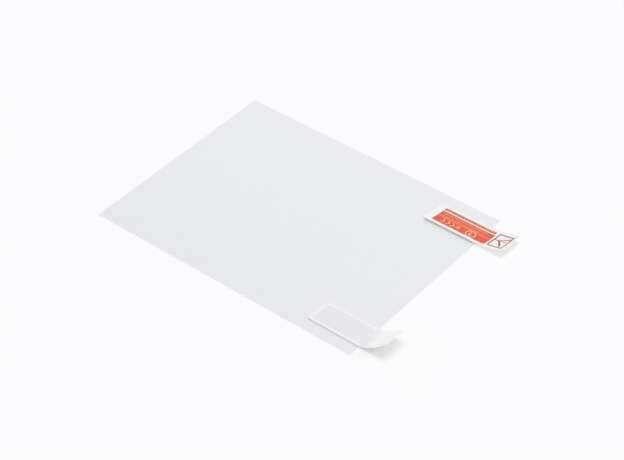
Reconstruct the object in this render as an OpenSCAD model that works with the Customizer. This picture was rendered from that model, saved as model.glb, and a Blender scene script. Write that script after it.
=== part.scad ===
// Screen protector for a small device: a protective film between a top liner
// and a bottom mask, with one pull tab stuck on top and one stuck underneath.
// Millimetres. +X is the long direction, towards the pull tabs, +Z is up.
// The origin is the middle of the underside.

/* [Sheet] */
// Long side of the sheet
sheet_l = 106; // [40:0.5:200]
// Short side of the sheet
sheet_w = 80; // [30:0.5:150]
// Corner radius of the sheet
sheet_r = 0.4; // [0.2:0.1:10]

/* [Layers] */
// Thickness of the bottom mask that covers the adhesive
mask_t = 0.05; // [0.03:0.01:0.3]
// Thickness of the protective film with its adhesive
film_t = 0.15; // [0.08:0.01:0.5]
// Thickness of the top liner that covers the hard face
liner_t = 0.05; // [0.03:0.01:0.3]

/* [Pull tabs] */
// Length of each pull tab, flattened
tab_l = 32.1; // [15:0.1:60]
// Width of each pull tab
tab_w = 10.2; // [5:0.1:20]
// Thickness of the tab label
tab_t = 0.12; // [0.08:0.01:0.3]
// Corner radius of each tab
tab_r = 1.5; // [0.3:0.1:4]
// Length of each tab that is stuck to the sheet
tab_stuck = 20.6; // [8:0.1:40]
// Angle by which each tab's stuck end is cut off square
tab_slant = 5; // [0:0.5:12]
// Distance of each tab's middle line from the sheet's middle line
tab_y = 30.3; // [8:0.1:60]
// Width of the slope where the sheet comes down beside the lower tab
tent_w = 0.9; // [0.5:0.1:5]

/* [Curl of the upper tab] */
// Radius that the free end of the upper tab bends up to
upper_curl_r = 31.5; // [15:0.5:400]
// How far before the sheet's edge the upper tab starts to rise
upper_curl_lead = 1.0; // [0:0.1:5]
// Height of the upper tab's loose near edge above the sheet
upper_lift = 0.6; // [0.1:0.05:2]
// Width of the strip of the upper tab that stays flat on the sheet
upper_flat = 2.6; // [1:0.1:9]

/* [Curl of the lower tab] */
// Radius of the tight bend at the sheet's edge
lower_kink_r = 2.4; // [1:0.1:20]
// Angle of the tight bend at the sheet's edge
lower_kink_a = 26; // [5:1:50]
// Radius of the curl beyond the tight bend
lower_curl_r = 33; // [12:0.5:400]
// Angle that the lower tab's bend lines are turned in plan
lower_turn = 4.8; // [0:0.1:12]

/* [Hidden] */
$fn = 96;
edge_x = sheet_l / 2;
stack_t = mask_t + film_t + liner_t;
low_x0 = edge_x - tab_stuck;
tent_x0 = low_x0 - tab_w / 2 * tan(tab_slant);
low_yn = -tab_y - tab_w / 2;
low_yf = -tab_y + tab_w / 2;

// plan of a rectangle with rounded corners, from x0 to x1 and y0 to y1
module plan(x0, x1, y0, y1, r) {
    difference() {
        translate([x0, y0]) square([x1 - x0, y1 - y0]);
        corner(x0, y0, 1, 1, r);
        corner(x1, y0, -1, 1, r);
        corner(x0, y1, 1, -1, r);
        corner(x1, y1, -1, -1, r);
    }
}

// what a rounded corner takes away from a square one at x, y
module corner(x, y, sx, sy, r) {
    difference() {
        translate([x + (sx > 0 ? -1 : -r), y + (sy > 0 ? -1 : -r)]) square([r + 1, r + 1]);
        translate([x + sx * r, y + sy * r]) circle(r = r);
    }
}

// a flat block of the sheet's outline between two heights
module slab(z0, z1) {
    translate([0, 0, z0]) linear_extrude(height = z1 - z0)
        plan(-edge_x, edge_x, -sheet_w / 2, sheet_w / 2, sheet_r);
}

// the low platform with sloping sides that the lower tab makes under the sheet,
// standing on height z and reaching d past the sheet's edge
module tent(z, d) {
    translate([0, 0, z]) intersection() {
        translate([0, sheet_w / 2, 0]) rotate([90, 0, 0]) linear_extrude(height = sheet_w)
            polygon([[tent_x0 - tent_w, 0], [tent_x0, tab_t], [edge_x + d, tab_t], [edge_x + d, 0]]);
        translate([tent_x0 - 5, 0, 0]) rotate([90, 0, 90]) linear_extrude(height = sheet_l)
            polygon([[low_yn - tent_w, 0], [low_yn, tab_t], [low_yf, tab_t], [low_yf + tent_w, 0]]);
    }
}

// one layer of the stack: flat, and lifted by the tab's thickness over the lower tab
module layer(z, t) {
    difference() {
        union() {
            slab(z, z + t);
            tent(z + t, 0);
        }
        tent(z, 1);
    }
}

module bottom_mask() color([0.86, 0.89, 0.92, 0.6]) layer(0, mask_t);
module protector_film() color([0.78, 0.82, 0.86, 0.6]) layer(mask_t, film_t);
module top_liner() color([0.86, 0.89, 0.92, 0.6]) layer(mask_t + film_t, liner_t);

// cross section of the upper tab: flat along its far side, rising to its loose near side
upper_rise = [for (i = [0:8]) [tab_w / 2 - upper_flat - i / 8 * (tab_w - upper_flat), upper_lift * pow(i / 8, 2)]];
upper_low = concat([[tab_w / 2, 0]], upper_rise);
upper_n = len(upper_low);
upper_section = concat(upper_low, [for (i = [0:upper_n - 1]) upper_low[upper_n - 1 - i] + [0, tab_t]]);

// takes the corners off a strip that ends at x = 0 and lies to the left
module end_corners(r) {
    translate([0, 0, -2]) linear_extrude(height = 5) {
        corner(0, -tab_w / 2, -1, 1, r);
        corner(0, tab_w / 2, -1, -1, r);
    }
}

// what the stuck end of a tab loses: its end line leans by tab_slant about x = 0, with round corners
module stuck_end() {
    t = tab_slant;
    v = tab_w / 2 - tab_r;
    near_x = (tab_r - v * sin(t)) / cos(t);
    far_x = (tab_r + v * sin(t)) / cos(t);
    near_arc = [for (i = [0:10]) [near_x + tab_r * cos(270 - i / 10 * (90 + t)), -v + tab_r * sin(270 - i / 10 * (90 + t))]];
    far_arc = [for (i = [0:10]) [far_x + tab_r * cos(180 - t - i / 10 * (90 - t)), v + tab_r * sin(180 - t - i / 10 * (90 - t))]];
    translate([0, 0, -2]) linear_extrude(height = 5)
        polygon(concat([[-3, -tab_w / 2 - 1], [near_x, -tab_w / 2 - 1]], near_arc, far_arc,
                       [[far_x, tab_w / 2 + 1], [-3, tab_w / 2 + 1]]));
}

module upper_pull_tab() {
    x0 = edge_x - tab_stuck;
    flat_l = tab_stuck - upper_curl_lead;
    a = (tab_l - flat_l) / upper_curl_r * 180 / PI;
    color([0.97, 0.96, 0.95]) translate([x0, tab_y, stack_t]) difference() {
        difference() {
            union() {
                translate([-1, 0, 0]) rotate([90, 0, 90]) linear_extrude(height = flat_l + 1) polygon(upper_section);
                translate([flat_l, 0, upper_curl_r]) rotate([0, 90, 0]) rotate([90, 0, 0])
                    rotate_extrude(angle = a) polygon([for (p = upper_section) [upper_curl_r - p[1], -p[0]]]);
            }
            translate([flat_l + upper_curl_r * sin(a), 0, upper_curl_r * (1 - cos(a))]) rotate([0, -a, 0])
                end_corners(tab_r);
        }
        stuck_end();
    }
}

// a strip that starts flat at the origin, heading +X, and bends up through angle a
module bend(r, a, y0, y1) {
    translate([0, 0, r]) rotate([0, 90, 0]) rotate([90, 0, 0])
        rotate_extrude(angle = a) polygon([[r, -y0], [r, -y1], [r - tab_t, -y1], [r - tab_t, -y0]]);
}

module lower_pull_tab() {
    t = lower_turn;
    free_l = tab_l - tab_stuck;
    kink_l = lower_kink_r * lower_kink_a * PI / 180;
    kink_x = lower_kink_r * sin(lower_kink_a);
    kink_z = lower_kink_r * (1 - cos(lower_kink_a));
    // where the tip's middle lies along the curl, and how far the curl is drawn before it is cut
    mid_a = (free_l * cos(t) - tab_w / 2 * sin(t) - kink_l) / lower_curl_r * 180 / PI;
    end_a = mid_a + 4;
    tip_x = lower_curl_r * sin(mid_a);
    tip_z = lower_curl_r * (1 - cos(mid_a));
    // how far the tip's middle is from the bend, in plan, and its place along the bend line
    reach = kink_x + tip_x * cos(lower_kink_a) - tip_z * sin(lower_kink_a);
    mid_y = (tab_w / 2 + reach * sin(t)) / cos(t);
    color([0.97, 0.96, 0.95]) difference() {
        intersection() {
            translate([0, low_yn, 0]) cube([edge_x + 30, tab_w, 30]);
            translate([edge_x, low_yn, 0]) rotate([0, 0, -t]) union() {
                translate([-tab_stuck - 5, -6, 0]) cube([tab_stuck + 5, tab_w + 12, tab_t]);
                bend(lower_kink_r, lower_kink_a, -6, tab_w + 6);
                translate([kink_x, 0, kink_z]) rotate([0, -lower_kink_a, 0])
                    bend(lower_curl_r, end_a, -6, tab_w + 6);
            }
        }
        // the end under the sheet, with its corners
        translate([low_x0 - 21.5, low_yn - 1, -1]) cube([20, tab_w + 2, 3]);
        translate([low_x0, -tab_y, 0]) stuck_end();
        // the free end, square to the tab and round at its corners
        translate([edge_x, low_yn, 0]) rotate([0, 0, -t]) translate([kink_x, mid_y, kink_z])
            rotate([0, -lower_kink_a, 0]) translate([tip_x, 0, tip_z]) rotate([0, -mid_a, 0])
                rotate([0, 0, t]) translate([0, 0, -3]) linear_extrude(height = 6) difference() {
                    translate([-tab_r, -tab_w]) square([8, tab_w * 2]);
                    free_end_plan();
                }
    }
}

// the outline of a tab's free end: straight sides that run past the strip, and two round corners
module free_end_plan() {
    difference() {
        translate([-tab_r - 1, -tab_w]) square([tab_r + 1, tab_w * 2]);
        for (s = [-1, 1]) difference() {
            translate([-tab_r, s > 0 ? tab_w / 2 - tab_r : -tab_w * 1.5 + tab_r]) square([tab_r + 1, tab_w]);
            translate([-tab_r, s * (tab_w / 2 - tab_r)]) circle(r = tab_r);
        }
    }
}

bottom_mask();
protector_film();
top_liner();
upper_pull_tab();
lower_pull_tab();
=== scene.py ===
import math

import bmesh
import bpy
from mathutils import Matrix, Vector


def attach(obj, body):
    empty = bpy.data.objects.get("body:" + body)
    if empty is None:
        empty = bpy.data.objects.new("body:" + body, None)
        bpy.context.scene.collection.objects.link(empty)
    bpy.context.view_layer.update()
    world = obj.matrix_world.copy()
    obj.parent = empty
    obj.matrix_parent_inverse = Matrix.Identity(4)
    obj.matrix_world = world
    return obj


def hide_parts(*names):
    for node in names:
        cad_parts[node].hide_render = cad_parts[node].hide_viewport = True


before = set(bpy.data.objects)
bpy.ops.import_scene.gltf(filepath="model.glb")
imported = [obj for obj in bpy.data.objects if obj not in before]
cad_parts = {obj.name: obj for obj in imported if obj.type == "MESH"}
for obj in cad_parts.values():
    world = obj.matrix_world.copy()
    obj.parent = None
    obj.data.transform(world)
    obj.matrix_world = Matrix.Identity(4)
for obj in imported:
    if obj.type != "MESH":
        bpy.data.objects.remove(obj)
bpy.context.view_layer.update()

MM = 0.001

# ---------------------------------------------------------------- sizes, in millimetres, as in the CAD source
SHEET_L, SHEET_W, SHEET_R = 106.0, 80.0, 0.4
EDGE_X = SHEET_L / 2
TAB_L, TAB_W, TAB_T, TAB_R = 32.1, 10.2, 0.12, 1.5
TAB_STUCK, TAB_Y = 20.6, 30.3
TAB_X0 = EDGE_X - TAB_STUCK
SLANT = math.tan(math.radians(5))  # the labels' stuck ends lean by this
TENT_X0 = TAB_X0 - TAB_W / 2 * SLANT
STACK_T = 0.25
TENT_W = 0.9
UP_R, UP_LEAD, UP_LIFT, UP_FLAT = 31.5, 1.0, 0.6, 2.6
LOW_KINK_R, LOW_KINK_A, LOW_R, LOW_TURN = 2.4, math.radians(26), 33.0, math.radians(4.8)
LOW_KINK_L = LOW_KINK_R * LOW_KINK_A
LOW_LIFT = 0.18  # air under the lower label's near edge


def near_lift(s, v):
    """How far the lower label's near edge stands off the table, under the sheet and just past it."""
    return LOW_LIFT * smooth((-3.3 - v) / 1.8) * smooth(s / 1.2) * (1 - smooth((s - TAB_STUCK) / 3.5))


# ---------------------------------------------------------------- where a point of each label lies
def on_upper(s, v, h):
    """s along the label from its stuck end, v across it from its middle, h above its underside."""
    g = 0.0 if v > TAB_W / 2 - UP_FLAT else UP_LIFT * ((TAB_W / 2 - UP_FLAT - v) / (TAB_W - UP_FLAT)) ** 2
    flat = TAB_STUCK - UP_LEAD
    if s <= flat:
        return (TAB_X0 + s, TAB_Y + v, STACK_T + g + h)
    a = (s - flat) / UP_R
    r = UP_R - g - h
    return (TAB_X0 + flat + r * math.sin(a), TAB_Y + v, STACK_T + UP_R - r * math.cos(a))


def on_lower(s, v, h):
    """The same for the label under the sheet. Its bend lines are turned a little in plan."""
    sp, vp = s - TAB_STUCK, v + TAB_W / 2
    c, sn = math.cos(LOW_TURN), math.sin(LOW_TURN)
    u = sp * c - vp * sn
    up = near_lift(s, v)
    if u <= 0:
        return (EDGE_X + sp, -TAB_Y + v, h + up)
    if u <= LOW_KINK_L:
        a = u / LOW_KINK_R
        x = (LOW_KINK_R - h) * math.sin(a)
        z = LOW_KINK_R - (LOW_KINK_R - h) * math.cos(a)
    else:
        b = (u - LOW_KINK_L) / LOW_R
        xp = (LOW_R - h) * math.sin(b)
        zp = LOW_R - (LOW_R - h) * math.cos(b)
        ck, sk = math.cos(LOW_KINK_A), math.sin(LOW_KINK_A)
        x = LOW_KINK_R * sk + xp * ck - zp * sk
        z = LOW_KINK_R * (1 - ck) + xp * sk + zp * ck
    g = (vp + x * sn) / c
    return (EDGE_X + x * c + g * sn, -TAB_Y + v, z + up)


def smooth(t):
    t = min(1.0, max(0.0, t))
    return t * t * (3 - 2 * t)


def leaning(place):
    """The same place function for a label whose stuck end leans."""
    return lambda s, v, h: place(s + v * SLANT * (1 - smooth(s / 7)), v, h)


def tent(x, y):
    """How far the sheet is lifted by the label under it."""
    near, far = -TAB_Y - TAB_W / 2, -TAB_Y + TAB_W / 2
    rise = TAB_T + near_lift(x - TAB_X0, max(y + TAB_Y, -TAB_W / 2))
    return rise * smooth((x - TENT_X0) / TENT_W + 1) * smooth((y - near) / TENT_W + 1) * smooth((far - y) / TENT_W + 1)


# ---------------------------------------------------------------- mesh building
def spread(*stops):
    """Grid lines: (from, to, step), and so on, without repeats."""
    out = []
    for a, b, step in stops:
        n = max(1, round((b - a) / step))
        out += [a + (b - a) * i / n for i in range(n + 1)]
    out.sort()
    kept = [out[0]]
    for p in out[1:]:
        if p - kept[-1] > 1e-4:
            kept.append(p)
    return kept


def round_corner(p, q, p0, p1, q0, q1, r):
    """Pulls a grid point of a rectangle's corner square onto a round corner."""
    cp = p0 + r if p < p0 + r else (p1 - r if p > p1 - r else None)
    cq = q0 + r if q < q0 + r else (q1 - r if q > q1 - r else None)
    if cp is None or cq is None:
        return p, q
    dp, dq = p - cp, q - cq
    d = math.hypot(dp, dq)
    if d < 1e-9:
        return p, q
    k = max(abs(dp), abs(dq)) / d
    return cp + dp * k, cq + dq * k


def finish_mesh(name, bm, mats, angle=35):
    bmesh.ops.recalc_face_normals(bm, faces=bm.faces)
    me = bpy.data.meshes.new(name)
    bm.to_mesh(me)
    bm.free()
    for m in mats:
        me.materials.append(m)
    me.shade_smooth()
    me.set_sharp_from_angle(angle=math.radians(angle))
    ob = bpy.data.objects.new(name, me)
    bpy.context.scene.collection.objects.link(ob)
    return ob


def sheet_piece(name, ps, qs, r, place, h0, h1, mats, pick):
    """A closed thin sheet over a grid with round corners. place(p, q, h) gives each point in mm, and
    pick(p, q, side) gives a face's material, where side is "top", "bottom" or "edge"."""
    bm = bmesh.new()
    p0, p1, q0, q1 = ps[0], ps[-1], qs[0], qs[-1]
    low, top = {}, {}
    for i, p in enumerate(ps):
        for j, q in enumerate(qs):
            a, b = round_corner(p, q, p0, p1, q0, q1, r)
            low[i, j] = bm.verts.new([c * MM for c in place(a, b, h0)])
            top[i, j] = bm.verts.new([c * MM for c in place(a, b, h1)])
    ni, nj = len(ps) - 1, len(qs) - 1
    for i in range(ni):
        for j in range(nj):
            mid = ((ps[i] + ps[i + 1]) / 2, (qs[j] + qs[j + 1]) / 2)
            f = bm.faces.new([top[i, j], top[i + 1, j], top[i + 1, j + 1], top[i, j + 1]])
            f.material_index = pick(*mid, "top")
            f = bm.faces.new([low[i, j], low[i, j + 1], low[i + 1, j + 1], low[i + 1, j]])
            f.material_index = pick(*mid, "bottom")
    rim = [(i, 0) for i in range(ni)] + [(ni, j) for j in range(nj)]
    rim += [(i, nj) for i in range(ni, 0, -1)] + [(0, j) for j in range(nj, 0, -1)]
    for k, a in enumerate(rim):
        b = rim[(k + 1) % len(rim)]
        f = bm.faces.new([low[a], low[b], top[b], top[a]])
        f.material_index = pick(ps[a[0]], qs[a[1]], "edge")
    return finish_mesh(name, bm, mats)


def ink(name, shapes, place, h0, h1, mat, step=0.8):
    """A thin closed slab of print that follows a label. shapes are outlines in the label's own s, v."""
    bm = bmesh.new()
    for shape in shapes:
        bm.faces.new([bm.verts.new((s, v, 0)) for s, v in shape])
    bmesh.ops.remove_doubles(bm, verts=bm.verts, dist=1e-4)
    s0, s1 = min(v.co.x for v in bm.verts), max(v.co.x for v in bm.verts)
    v0, v1 = min(v.co.y for v in bm.verts), max(v.co.y for v in bm.verts)
    for lo, hi, axis in ((s0, s1, 0), (v0, v1, 1)):
        n = int((hi - lo) / step)
        for i in range(1, n + 1):
            at = lo + (hi - lo) * i / (n + 1)
            co = (at, 0, 0) if axis == 0 else (0, at, 0)
            no = (1, 0, 0) if axis == 0 else (0, 1, 0)
            geom = list(bm.verts) + list(bm.edges) + list(bm.faces)
            bmesh.ops.bisect_plane(bm, geom=geom, dist=1e-5, plane_co=co, plane_no=no)
    bm.verts.index_update()
    pts = [(v.co.x, v.co.y) for v in bm.verts]
    faces = []
    for f in bm.faces:
        loop = [v.index for v in f.verts]
        if f.normal.z < 0 or f.calc_area() < 0:
            loop.reverse()
        faces.append(loop)
    rims = []
    for e in bm.edges:
        if len(e.link_faces) == 1:
            loop = next(l for l in faces if e.verts[0].index in l and e.verts[1].index in l
                        and abs(l.index(e.verts[0].index) - l.index(e.verts[1].index)) in (1, len(l) - 1))
            a, b = e.verts[0].index, e.verts[1].index
            if loop[(loop.index(a) + 1) % len(loop)] != b:
                a, b = b, a
            rims.append((a, b))
    bm.free()
    out = bmesh.new()
    low = [out.verts.new([c * MM for c in place(s, v, h0)]) for s, v in pts]
    top = [out.verts.new([c * MM for c in place(s, v, h1)]) for s, v in pts]
    for loop in faces:
        out.faces.new([top[i] for i in loop])
        out.faces.new([low[i] for i in reversed(loop)])
    for a, b in rims:
        out.faces.new([low[a], low[b], top[b], top[a]])
    return finish_mesh(name, out, [mat])


def bar(s0, s1, v0, v1, r=0.0, lean=0.0):
    """A rectangle in s, v, with its corners taken off by r and its far side shifted by lean."""
    if r <= 0:
        return [(s0, v0), (s1, v0), (s1 + lean, v1), (s0 + lean, v1)]
    pts = []
    for cs, cv, a0 in ((s0 + r, v0 + r, 180), (s1 - r, v0 + r, 270), (s1 - r, v1 - r, 0), (s0 + r, v1 - r, 90)):
        for a in (0, 30, 60, 90):
            t = math.radians(a0 + a)
            v = cv + r * math.sin(t)
            pts.append((cs + r * math.cos(t) + lean * (v - v0) / (v1 - v0), v))
    return pts


def stroke(path):
    """Quads along a path of (s, v, width)."""
    side = []
    for i, (s, v, w) in enumerate(path):
        a, b = path[max(0, i - 1)], path[min(len(path) - 1, i + 1)]
        d = math.hypot(b[0] - a[0], b[1] - a[1])
        ns, nv = -(b[1] - a[1]) / d * w / 2, (b[0] - a[0]) / d * w / 2
        side.append(((s - ns, v - nv), (s + ns, v + nv)))
    return [[side[i][0], side[i + 1][0], side[i + 1][1], side[i][1]] for i in range(len(side) - 1)]


def ring(cs, cv, r0, r1, n=48):
    out = []
    for i in range(n):
        a, b = 2 * math.pi * i / n, 2 * math.pi * (i + 1) / n
        out.append([(cs + r * math.cos(t), cv + r * math.sin(t)) for r, t in ((r0, a), (r1, a), (r1, b), (r0, b))])
    return out


def frame_of(corners, w):
    """A line frame of width w inside four corners given in order, as four mitred quads."""
    cs = sum(c[0] for c in corners) / 4
    cv = sum(c[1] for c in corners) / 4
    inner = []
    n = len(corners)
    for i in range(n):
        p, q, r = Vector(corners[i - 1]), Vector(corners[i]), Vector(corners[(i + 1) % n])
        e0, e1 = (p - q).normalized(), (r - q).normalized()
        half = math.acos(max(-1, min(1, e0.dot(e1)))) / 2
        inner.append(tuple(q + (e0 + e1).normalized() * w / math.sin(half)))
    return [[corners[i], corners[(i + 1) % n], inner[(i + 1) % n], inner[i]] for i in range(n)]


# ---------------------------------------------------------------- materials
def shader(name):
    m = bpy.data.materials.new(name)
    m.use_nodes = True
    nt = m.node_tree
    nt.nodes.clear()
    out = nt.nodes.new("ShaderNodeOutputMaterial")
    b = nt.nodes.new("ShaderNodeBsdfPrincipled")
    nt.links.new(b.outputs["BSDF"], out.inputs["Surface"])
    co = nt.nodes.new("ShaderNodeTexCoord")
    return m, nt, b, co.outputs["Object"]


def noise(nt, co, scale, detail=2.0, rough=0.5):
    n = nt.nodes.new("ShaderNodeTexNoise")
    n.inputs["Scale"].default_value = scale
    n.inputs["Detail"].default_value = detail
    n.inputs["Roughness"].default_value = rough
    nt.links.new(co, n.inputs["Vector"])
    return n.outputs["Fac"]


def ramp(nt, fac, stops):
    r = nt.nodes.new("ShaderNodeValToRGB")
    r.color_ramp.interpolation = "EASE"
    for i, (at, col) in enumerate(stops):
        e = r.color_ramp.elements[i] if i < 2 else r.color_ramp.elements.new(at)
        e.position, e.color = at, (*col, 1)
    nt.links.new(fac, r.inputs["Fac"])
    return r.outputs["Color"]


def between(nt, fac, lo, hi):
    r = nt.nodes.new("ShaderNodeMapRange")
    r.inputs["From Min"].default_value, r.inputs["From Max"].default_value = 0.3, 0.7
    r.inputs["To Min"].default_value, r.inputs["To Max"].default_value = lo, hi
    nt.links.new(fac, r.inputs["Value"])
    return r.outputs["Result"]


def along(nt, co, axis, start, end):
    """0 to 1 along one axis of the object."""
    parts = nt.nodes.new("ShaderNodeSeparateXYZ")
    nt.links.new(co, parts.inputs["Vector"])
    r = nt.nodes.new("ShaderNodeMapRange")
    r.inputs["From Min"].default_value, r.inputs["From Max"].default_value = start, end
    nt.links.new(parts.outputs[axis], r.inputs["Value"])
    return r.outputs["Result"]


def mixed(nt, fac, a, b, blend="MIX"):
    x = nt.nodes.new("ShaderNodeMix")
    x.data_type, x.blend_type = "RGBA", blend
    if fac is None:
        x.inputs[0].default_value = 1.0
    else:
        nt.links.new(fac, x.inputs[0])
    nt.links.new(a, x.inputs[6])
    nt.links.new(b, x.inputs[7])
    return x.outputs[2]


def bump(nt, height, strength, distance):
    b = nt.nodes.new("ShaderNodeBump")
    b.inputs["Strength"].default_value = strength
    b.inputs["Distance"].default_value = distance
    nt.links.new(height, b.inputs["Height"])
    return b.outputs["Normal"]


def tone(col, k):
    return tuple(min(1.0, c * k) for c in col)


def film_material(name, colour, alpha, rough=(0.16, 0.24)):
    """Clear plastic film with a faint drawn grain, a barely uneven tint, and painted light that makes it lighter and
    warmer towards the far side.
    """
    m, nt, b, co = shader(name)
    stretched = nt.nodes.new("ShaderNodeMapping")
    stretched.inputs["Scale"].default_value = (0.35, 1.6, 1.0)
    nt.links.new(co, stretched.inputs["Vector"])
    wide = noise(nt, co, 22.0, 2.0)
    warmer = (colour[0], colour[1], colour[2] * 0.93)
    near = ramp(nt, wide, [(0.3, tone(colour, 0.92)), (0.7, tone(colour, 0.95))])
    far = ramp(nt, wide, [(0.3, tone(warmer, 1.17)), (0.7, tone(warmer, 1.21))])
    # painted light: darker at the near side, lighter and warmer at the far side
    nt.links.new(mixed(nt, along(nt, co, "Y", -0.04, 0.04), near, far), b.inputs["Base Color"])
    fine = noise(nt, stretched.outputs["Vector"], 900.0, 3.0)
    nt.links.new(between(nt, fine, *rough), b.inputs["Roughness"])
    nt.links.new(bump(nt, fine, 0.08, 0.00002), b.inputs["Normal"])
    b.inputs["Alpha"].default_value = alpha
    b.inputs["IOR"].default_value = 1.5
    return m


def paper_material(name, colour, rough=(0.5, 0.62), mottle=0.012, relief=0.12, along_x=None):
    """Coated label paper: a faint mottle of the pulp and a fine fibre relief. along_x is (start, end, stops)
    for paper whose colour also changes along the label."""
    m, nt, b, co = shader(name)
    pulp = noise(nt, co, 700.0, 4.0, 0.6)
    base = ramp(nt, pulp, [(0.3, tone(colour, 1 - mottle)), (0.7, tone(colour, 1 + mottle))])
    if along_x:
        base = mixed(nt, None, base, ramp(nt, along(nt, co, "X", *along_x[:2]), along_x[2]), "MULTIPLY")
    nt.links.new(base, b.inputs["Base Color"])
    stretched = nt.nodes.new("ShaderNodeMapping")
    stretched.inputs["Scale"].default_value = (0.5, 1.4, 1.0)
    nt.links.new(co, stretched.inputs["Vector"])
    fibre = noise(nt, stretched.outputs["Vector"], 5200.0, 3.0, 0.6)
    nt.links.new(between(nt, pulp, *rough), b.inputs["Roughness"])
    nt.links.new(bump(nt, fibre, relief, 0.00002), b.inputs["Normal"])
    b.inputs["Specular IOR Level"].default_value = 0.35
    return m


def ink_material(name, colour, rough=(0.36, 0.5), mottle=0.03):
    """Printing ink on the label: slightly uneven where it covers the pulp, and a little glossier."""
    m, nt, b, co = shader(name)
    pulp = noise(nt, co, 1500.0, 5.0, 0.65)
    nt.links.new(ramp(nt, pulp, [(0.28, tone(colour, 1 - mottle)), (0.72, tone(colour, 1 + mottle))]), b.inputs["Base Color"])
    nt.links.new(between(nt, pulp, *rough), b.inputs["Roughness"])
    nt.links.new(bump(nt, pulp, 0.1, 0.00001), b.inputs["Normal"])
    b.inputs["Specular IOR Level"].default_value = 0.4
    return m


def srgb(r, g, b, k=1.0):
    """A colour picked as 0 to 255, to linear."""
    return tuple(k * ((c / 255 / 12.92) if c / 255 <= 0.04045 else ((c / 255 + 0.055) / 1.055) ** 2.4) for c in (r, g, b))


FILM = (0.37, 0.40, 0.50)
EDGE = (0.50, 0.55, 0.64)
mat_liner = film_material("top_liner_film", FILM, 0.035)
mat_film = film_material("protector_film_plastic", FILM, 0.030)
mat_mask = film_material("bottom_mask_film", FILM, 0.015)
mat_liner_edge = film_material("top_liner_cut_edge", EDGE, 0.08)
mat_film_edge = film_material("protector_film_cut_edge", EDGE, 0.10)
mat_mask_edge = film_material("bottom_mask_cut_edge", EDGE, 0.06)

# label face tint along the label; the rise in brightness past the sheet's edge, on the curled free end, is painted
# light
FACE_TINT_FREE_END_LIGHT = [(0.0, (0.818, 0.812, 0.818)), (0.07, (0.828, 0.805, 0.798)), (0.6, (0.832, 0.802, 0.792)), (0.85, (0.875, 0.835, 0.815)), (1.0, (0.885, 0.845, 0.825))]
mat_label = paper_material("label_face", (0.985, 0.985, 0.985), along_x=(TAB_X0 * MM, 0.0642, FACE_TINT_FREE_END_LIGHT))
# painted shade and light on the lower label's free end: dark at the kink by the sheet's edge, lighter towards the tip
KINK_SHADE_TIP_LIGHT = [(0.0, (0.72, 0.72, 0.725)), (0.2, (0.88, 0.88, 0.885)), (0.38, (0.93, 0.933, 0.943)), (1.0, (0.965, 0.968, 0.978))]
mat_label_back_painted_shade_light = paper_material("label_back", (0.985, 0.985, 0.99), rough=(0.55, 0.68), along_x=(0.0532, 0.0622, KINK_SHADE_TIP_LIGHT))
mat_label_edge = paper_material("label_cut_edge", (0.84, 0.84, 0.835), rough=(0.7, 0.8), mottle=0.02, relief=0.3)
# painted shade: dark grey for the lower label's near cut edge, where a shadow line runs along it
mat_edge_painted_shade = paper_material("label_cut_edge_painted_shade", (0.50, 0.50, 0.51), rough=(0.7, 0.8), mottle=0.02, relief=0.3)
# painted shade: the upper label's underside is mid grey under its stuck part, darkening the gap under its lifted near
# edge; near white under the free end
UNDER = [(0.0, (0.52, 0.51, 0.50)), (1.0, (0.91, 0.91, 0.915))]
mat_label_under_painted_shade = paper_material("upper_label_back_painted_shade", (0.985, 0.985, 0.985), rough=(0.55, 0.68), along_x=(0.0515, 0.0545, UNDER))
# painted shade, deeper: the upper label's near cut edge along its stuck part, and the lower label's near cut edge
# towards its tip
mat_edge_painted_deep_shade = paper_material("label_cut_edge_painted_deep_shade", (0.34, 0.34, 0.35), rough=(0.7, 0.8), mottle=0.02, relief=0.3)
mat_back_wet = paper_material("label_back_stuck", (0.96, 0.953, 0.943), rough=(0.45, 0.55))
mat_back_wet_show = paper_material("label_back_stuck_over_print", (0.884, 0.875, 0.865), rough=(0.45, 0.55))

mat_orange = ink_material("orange_ink", srgb(224, 91, 47, 0.97))
mat_orange_light = ink_material("orange_ink_screened", srgb(222, 97, 68, 0.97))
mat_red = ink_material("dark_red_ink", srgb(184, 72, 58, 0.97), mottle=0.06)
mat_line = ink_material("brown_red_line_ink", srgb(140, 66, 58, 0.97))
mat_deep = ink_material("deep_orange_ink", srgb(200, 80, 52, 0.97))
mat_light = ink_material("light_reversed_print", srgb(252, 208, 176, 0.97), mottle=0.015)
mat_pale = ink_material("pale_reversed_print", srgb(244, 170, 140, 0.97), mottle=0.015)
mat_tint = ink_material("light_tint", srgb(250, 212, 194, 0.97), mottle=0.015)

# ---------------------------------------------------------------- the three films
near_y, far_y = -TAB_Y - TAB_W / 2, -TAB_Y + TAB_W / 2
sheet_xs = spread((-EDGE_X, -EDGE_X + SHEET_R, 0.08), (-EDGE_X + SHEET_R, 28.2, 4.0), (28.2, TENT_X0 - TENT_W, 1.2),
                  (TENT_X0 - TENT_W, TENT_X0, 0.09), (TENT_X0, TAB_X0 + 1.2, 0.12),
                  (TAB_X0 + 1.2, EDGE_X - SHEET_R, 1.5), (EDGE_X - SHEET_R, EDGE_X, 0.08))
sheet_ys = spread((-SHEET_W / 2, -SHEET_W / 2 + SHEET_R, 0.08), (-SHEET_W / 2 + SHEET_R, near_y - TENT_W, 0.8),
                  (near_y - TENT_W, near_y, 0.09), (near_y, near_y + 1.8, 0.15), (near_y + 1.8, far_y, 1.2), (far_y, far_y + TENT_W, 0.09),
                  (far_y + TENT_W, -20.0, 1.4), (-20.0, SHEET_W / 2 - SHEET_R, 4.0), (SHEET_W / 2 - SHEET_R, SHEET_W / 2, 0.08))


def over(x, y, h):
    return (x, y, h + tent(x, y))


def film_side(p, q, side):
    return 1 if side == "edge" else 0


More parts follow.
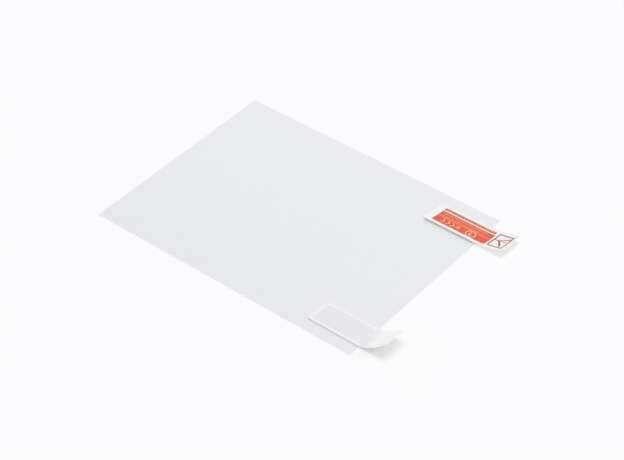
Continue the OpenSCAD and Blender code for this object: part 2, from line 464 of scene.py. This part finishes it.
GAP = 0.004
mask = sheet_piece("bottom_mask_sheet", sheet_xs, sheet_ys, SHEET_R, over, 0.0, 0.05 - GAP, [mat_mask, mat_mask_edge], film_side)
film = sheet_piece("protector_film_sheet", sheet_xs, sheet_ys, SHEET_R, over, 0.05, 0.20 - GAP, [mat_film, mat_film_edge], film_side)
liner = sheet_piece("top_liner_sheet", sheet_xs, sheet_ys, SHEET_R, over, 0.20, 0.25, [mat_liner, mat_liner_edge], film_side)
for ob, node, slot in ((mask, "bottom_mask", "mask"), (film, "protector_film", "film"), (liner, "top_liner", "liner")):
    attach(ob, "root")
    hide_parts(node)

# ---------------------------------------------------------------- the two labels
tab_ss = spread((0, TAB_R, 0.15), (TAB_R, 19.3, 0.9), (19.3, 23.5, 0.14), (23.5, TAB_L - TAB_R, 0.4), (TAB_L - TAB_R, TAB_L, 0.15))
tab_vs = spread((-TAB_W / 2, -TAB_W / 2 + TAB_R, 0.15), (-TAB_W / 2 + TAB_R, TAB_W / 2 - TAB_R, 0.4), (TAB_W / 2 - TAB_R, TAB_W / 2, 0.15))


def up_side(s, v, side):
    if side == "edge":
        # the near cut edge along the stuck part takes the painted deep shade
        return 3 if v < -TAB_W / 2 + 0.05 and s < TAB_STUCK + 1 else 2
    return 0 if side == "top" else 1


upper = sheet_piece("upper_label", tab_ss, tab_vs, TAB_R, leaning(on_upper), GAP, TAB_T,
                    [mat_label, mat_label_under_painted_shade, mat_label_edge, mat_edge_painted_deep_shade], up_side)
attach(upper, "root")
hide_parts("upper_pull_tab")

low_ss = spread((0, 1.5, 0.15), (1.5, TAB_STUCK, 0.94), (TAB_STUCK, 23.6, 0.11), (23.6, TAB_L - TAB_R, 0.4), (TAB_L - TAB_R, TAB_L, 0.15))
low_vs = spread((-TAB_W / 2, -4.1, 0.1), (-4.1, -3.6, 0.1), (-3.6, 3.6, 0.4), (3.6, 3.9, 0.1), (3.9, TAB_W / 2, 0.1))
PRINT_UNDER = (1.5, 23.6, -4.1, 3.9)


def low_side(s, v, side):
    if side == "edge":
        # the near cut edge takes painted shade, deeper towards the tip
        return (5 if s < 25 else 6) if v < -TAB_W / 2 + 0.05 else 4
    if side == "bottom":
        return 3
    if s > TAB_STUCK:
        return 2
    return 1 if s > PRINT_UNDER[0] and PRINT_UNDER[2] < v < PRINT_UNDER[3] else 0


lower = sheet_piece("lower_label", low_ss, low_vs, TAB_R, leaning(on_lower), 0.002, TAB_T - GAP,
                    [mat_back_wet, mat_back_wet_show, mat_label_back_painted_shade_light, mat_label, mat_label_edge, mat_edge_painted_shade, mat_edge_painted_deep_shade], low_side)
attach(lower, "root")
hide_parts("lower_pull_tab")

# ---------------------------------------------------------------- print on the upper label
INK0, INK1, INK2 = TAB_T - 0.004, TAB_T + 0.010, TAB_T + 0.018
NEAR0, NEAR1 = (2.35, -3.8), (23.4, -3.8)
FAR0, FAR1 = (2.9, 2.1), (23.75, 2.1)


def lean_at(v):
    """How far the panel's ends have shifted at height v of the panel."""
    return (v + 3.8) / 5.9


def panel(v0, v1):
    a, b = lean_at(v0), lean_at(v1)
    return [(NEAR0[0] + (FAR0[0] - NEAR0[0]) * a, v0), (NEAR1[0] + (FAR1[0] - NEAR1[0]) * a, v0),
            (NEAR1[0] + (FAR1[0] - NEAR1[0]) * b, v1), (NEAR0[0] + (FAR0[0] - NEAR0[0]) * b, v1)]


def words(s0, v0, v1, widths, gap, lean, r=0.1):
    out, s = [], s0
    for w in widths:
        out.append(bar(s, s + w, v0, v1, r, lean * (v1 - v0)))
        s += w + gap
    return out


PRINT_S = 0.12  # where the print begins, along the label
prints = []


def add_ink(name, shapes, h1, mat, place=on_upper, h0=INK0, step=0.8):
    shapes = [[(s + PRINT_S, v) for s, v in shape] for shape in shapes]
    ob = ink(name, shapes, place, h0, h1, mat, step)
    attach(ob, "root")
    prints.append(ob)
    return ob


add_ink("print_panel_main", [panel(-3.8, -0.6)], INK1, mat_orange)
add_ink("print_panel_upper", [panel(-0.38, 2.15)], INK1, mat_orange_light)
add_ink("print_panel_divider", [panel(-0.6, -0.38)], INK1 - 0.002, mat_pale)
add_ink("print_panel_border", frame_of(panel(-3.8, 2.15), 0.24), INK2, mat_deep)
add_ink("print_strip_tint", [panel(2.15, 2.72)], INK1 - 0.004, mat_tint)
letters = (0.6, 0.45, 0.7, 0.35, 0.55, 0.75, 0.4, 0.65, 0.5, 0.8, 0.45)
add_ink("print_strip_words", words(2.95, 2.72, 3.88, (letters * 3)[:28], 0.17, 0.07, 0.06), INK1, mat_red)
small = (0.9, 0.5, 1.3, 0.4, 0.8, 1.1, 0.6)
add_ink("print_small_row_far", words(4.3, 1.22, 1.5, (small * 3)[:16], 0.3, 0.07, 0.06), INK2, mat_pale)
add_ink("print_small_row_middle", words(4.5, 0.66, 0.84, (small * 3)[2:17], 0.34, 0.07, 0.06), INK2, mat_deep)
add_ink("print_small_row_near", words(4.1, 0.06, 0.3, (small * 3)[4:19], 0.32, 0.07, 0.06), INK2, mat_pale)
for i in range(3):
    s0 = 5.5 + 1.95 * i
    add_ink(f"print_chevron_{i + 1}", stroke([(s0, -3.0, 0.34), (s0 + 0.95, -2.05, 0.4), (s0 + 0.1, -1.15, 0.34)]), INK2, mat_light, step=0.5)
add_ink("print_square", [bar(11.2, 12.4, -2.75, -1.3, 0.15, 0.1)], INK2, mat_pale)
add_ink("print_ring", ring(16.95, -2.12, 1.54, 1.87), INK2, mat_light)
add_ink("print_number_one", [[(16.5, -3.2), (16.88, -3.2), (16.88, -1.0), (16.5, -1.0)],
                             [(16.88, -3.2), (17.35, -2.86), (17.35, -2.6), (16.88, -2.9)]], INK2, mat_light)
ICON = [(24.2, -3.5), (30.3, -3.85), (30.75, 3.45), (24.75, 3.85)]
add_ink("print_icon_frame", frame_of(ICON, 0.44), INK1, mat_line, step=0.5)
add_ink("print_icon_sheet", stroke([(24.8, 0.4, 0.3), (26.0, 0.4, 0.34), (27.7, 0.42, 0.22)])
        + stroke([(26.1, 0.42, 0.4), (26.75, 0.02, 0.5), (27.5, -0.8, 0.6), (28.3, -1.9, 0.6), (29.0, -3.1, 0.3)]), INK1, mat_line, step=0.5)
add_ink("print_icon_fold", stroke([(26.7, 0.62, 0.26), (27.8, 0.88, 0.42), (28.8, 1.38, 0.52), (29.6, 1.9, 0.56), (30.3, 2.35, 0.4)])
        + stroke([(27.9, 0.26, 0.36), (29.6, 0.08, 0.44)]), INK1, mat_red, step=0.5)

# plain field of the same ink on the lower label's face, which lies down
add_ink("print_field_under", [bar(1.9, 20.2, -3.25, 3.5)], 0.006, mat_orange, place=on_lower, h0=0.0)
add_ink("print_field_under_end", [bar(20.2, 22.0, -3.25, 3.5)], 0.006, mat_orange, place=on_lower, h0=0.0, step=0.1)

# ---------------------------------------------------------------- floor, light and camera
bm = bmesh.new()
R = 8.0
bm.faces.new([bm.verts.new(p) for p in ((-R, -R, -0.00001), (R, -R, -0.00001), (R, R, -0.00001), (-R, R, -0.00001))])
floor_mesh = bpy.data.meshes.new("floor")
bm.to_mesh(floor_mesh)
bm.free()
floor = bpy.data.objects.new("floor", floor_mesh)
bpy.context.scene.collection.objects.link(floor)
m, nt, b, co = shader("floor_paper")
soft = noise(nt, co, 3.0, 1.0)
nt.links.new(ramp(nt, soft, [(0.2, (0.721, 0.722, 0.733)), (0.8, (0.725, 0.726, 0.737))]), b.inputs["Base Color"])
b.inputs["Roughness"].default_value = 1.0
b.inputs["Specular IOR Level"].default_value = 0.0
b.inputs["Emission Color"].default_value = (1.0, 1.0, 1.01, 1)
b.inputs["Emission Strength"].default_value = 0.163
floor_mesh.materials.append(m)

world = bpy.data.worlds.new("studio")
world.use_nodes = True
bg = world.node_tree.nodes.get("Background") or world.node_tree.nodes.new("ShaderNodeBackground")
bg.inputs["Color"].default_value = (1.0, 1.0, 1.005, 1)
bg.inputs["Strength"].default_value = 0.621
bpy.context.scene.world = world


def softbox(name, at, size, power, towards=(0, 0, 0)):
    la = bpy.data.lights.new(name, "AREA")
    la.shape = "DISK"
    la.size = size
    la.energy = power
    ob = bpy.data.objects.new(name, la)
    ob.location = at
    ob.rotation_mode = "QUATERNION"
    ob.rotation_quaternion = (Vector(towards) - Vector(at)).to_track_quat("-Z", "Y")
    bpy.context.scene.collection.objects.link(ob)
    return ob


softbox("overhead", (0.0, 0.15, 4.0), 2.8, 58.3)
side = softbox("side_far_right", (2.3, 2.3, 2.2), 2.2, 45.9)
# the upper label's shadow is a light one, so the side light passes it
passed = bpy.data.collections.new("side_light_passes")
passed.objects.link(upper)
for ob in prints:
    if not ob.name.startswith("print_field_under"):
        passed.objects.link(ob)
for entry in passed.collection_objects:
    entry.light_linking.link_state = "EXCLUDE"
side.light_linking.blocker_collection = passed

cam_data = bpy.data.cameras.new("photo_camera")
cam_data.lens = 109.81
cam_data.sensor_width = 36.0
cam_data.sensor_fit = "HORIZONTAL"
cam_data.clip_start, cam_data.clip_end = 0.01, 50
cam = bpy.data.objects.new("photo_camera", cam_data)
fwd = Vector((-0.480539, 0.581742, -0.656246)).normalized()
right = Vector((0.776061, 0.630590, -0.009275))
right = (right - fwd * right.dot(fwd)).normalized()
upv = right.cross(fwd)
cam.matrix_world = Matrix.Translation((0.307288, -0.365192, 0.409792)) @ Matrix((right, upv, -fwd)).transposed().to_4x4()
bpy.context.scene.collection.objects.link(cam)
bpy.context.scene.camera = cam

scene = bpy.context.scene
scene.view_settings.view_transform = "Standard"
scene.view_settings.look = "None"
# light has to pass up to a dozen film faces, there and back
if hasattr(scene, "cycles"):
    scene.cycles.transparent_max_bounces = 64
    scene.cycles.max_bounces = 16
    scene.cycles.diffuse_bounces = 8

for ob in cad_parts.values():
    ob.data.materials.clear()
    ob.data.materials.append(mat_label if "tab" in ob.name else mat_film)
